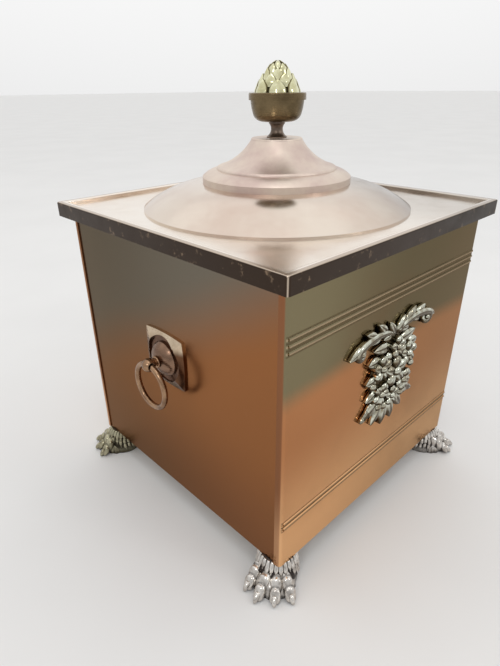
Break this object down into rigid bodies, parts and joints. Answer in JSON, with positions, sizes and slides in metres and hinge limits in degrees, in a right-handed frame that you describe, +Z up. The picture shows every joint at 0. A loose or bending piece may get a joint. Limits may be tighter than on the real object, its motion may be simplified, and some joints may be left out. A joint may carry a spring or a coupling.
{
  "type": "coal bin",
  "caption": "Square brass coal bin on cast paw feet, with a reeded front, scroll crest, hanging ring handles, lift-out liner and a lift-off domed lid with a leaf bud finial.",
  "frame": {"origin": "on the floor under the middle of the square body", "axes": "+Z up, front with the crest towards -Y, ring handles on -X and +X"},
  "size_m": [0.3616, 0.3532, 0.4516],
  "materials": {
    "body_brass": "satin rolled sheet, lightly browned",
    "lid_brass": "polished spun sheet with a rose tint",
    "tarnished_brass": "polished above, dark tarnish on the skirt",
    "dark_brass": "turned, browned",
    "cast_brass": "polished casting with dark hollows",
    "handle_brass": "polished, browned in the corners",
    "inner_brass": "dull sheet",
    "liner_steel": "black painted steel sheet",
    "fastener_steel": "plain steel fasteners"
  },
  "bodies": {
    "bin": {"front_panel": "body_brass", "back_panel": "body_brass", "left_side_panel": "body_brass", "right_side_panel": "body_brass", "base_tray": "inner_brass", "mouth_band": "inner_brass", "liner": "liner_steel", "paw_front_left": "cast_brass", "paw_front_right": "cast_brass", "paw_back_left": "cast_brass", "paw_back_right": "cast_brass", "foot_screws": "fastener_steel", "handle_plate_left": "handle_brass", "handle_boss_left": "handle_brass", "handle_post_left": "handle_brass", "handle_plate_right": "handle_brass", "handle_boss_right": "handle_brass", "handle_post_right": "handle_brass", "handle_washers": "fastener_steel", "handle_nuts": "fastener_steel", "crest_mount": "cast_brass", "crest_nuts": "fastener_steel"},
    "lid": {"lid_plate": "tarnished_brass", "lid_frame": "inner_brass", "lid_dome": "lid_brass", "lid_bell": "lid_brass", "finial_stem": "dark_brass", "finial_cup": "dark_brass", "finial_bud": "cast_brass", "finial_stud": "fastener_steel", "finial_washer": "fastener_steel", "finial_nut": "fastener_steel"},
    "ring_left": {"handle_ring_left": "handle_brass"},
    "ring_right": {"handle_ring_right": "handle_brass"}
  },
  "joints": [
    {"name": "lid_lift", "type": "slide", "parent": "bin", "child": "lid", "axis": [0, 0, 1], "range_m": [0, 0.2]},
    {"name": "left_ring_swing", "type": "hinge", "parent": "bin", "child": "ring_left", "pos_m": [-0.174, 0, 0.193], "axis": [0, 1, 0], "range_deg": [-20, 200]},
    {"name": "right_ring_swing", "type": "hinge", "parent": "bin", "child": "ring_right", "pos_m": [0.174, 0, 0.193], "axis": [0, -1, 0], "range_deg": [-20, 200]}
  ]
}
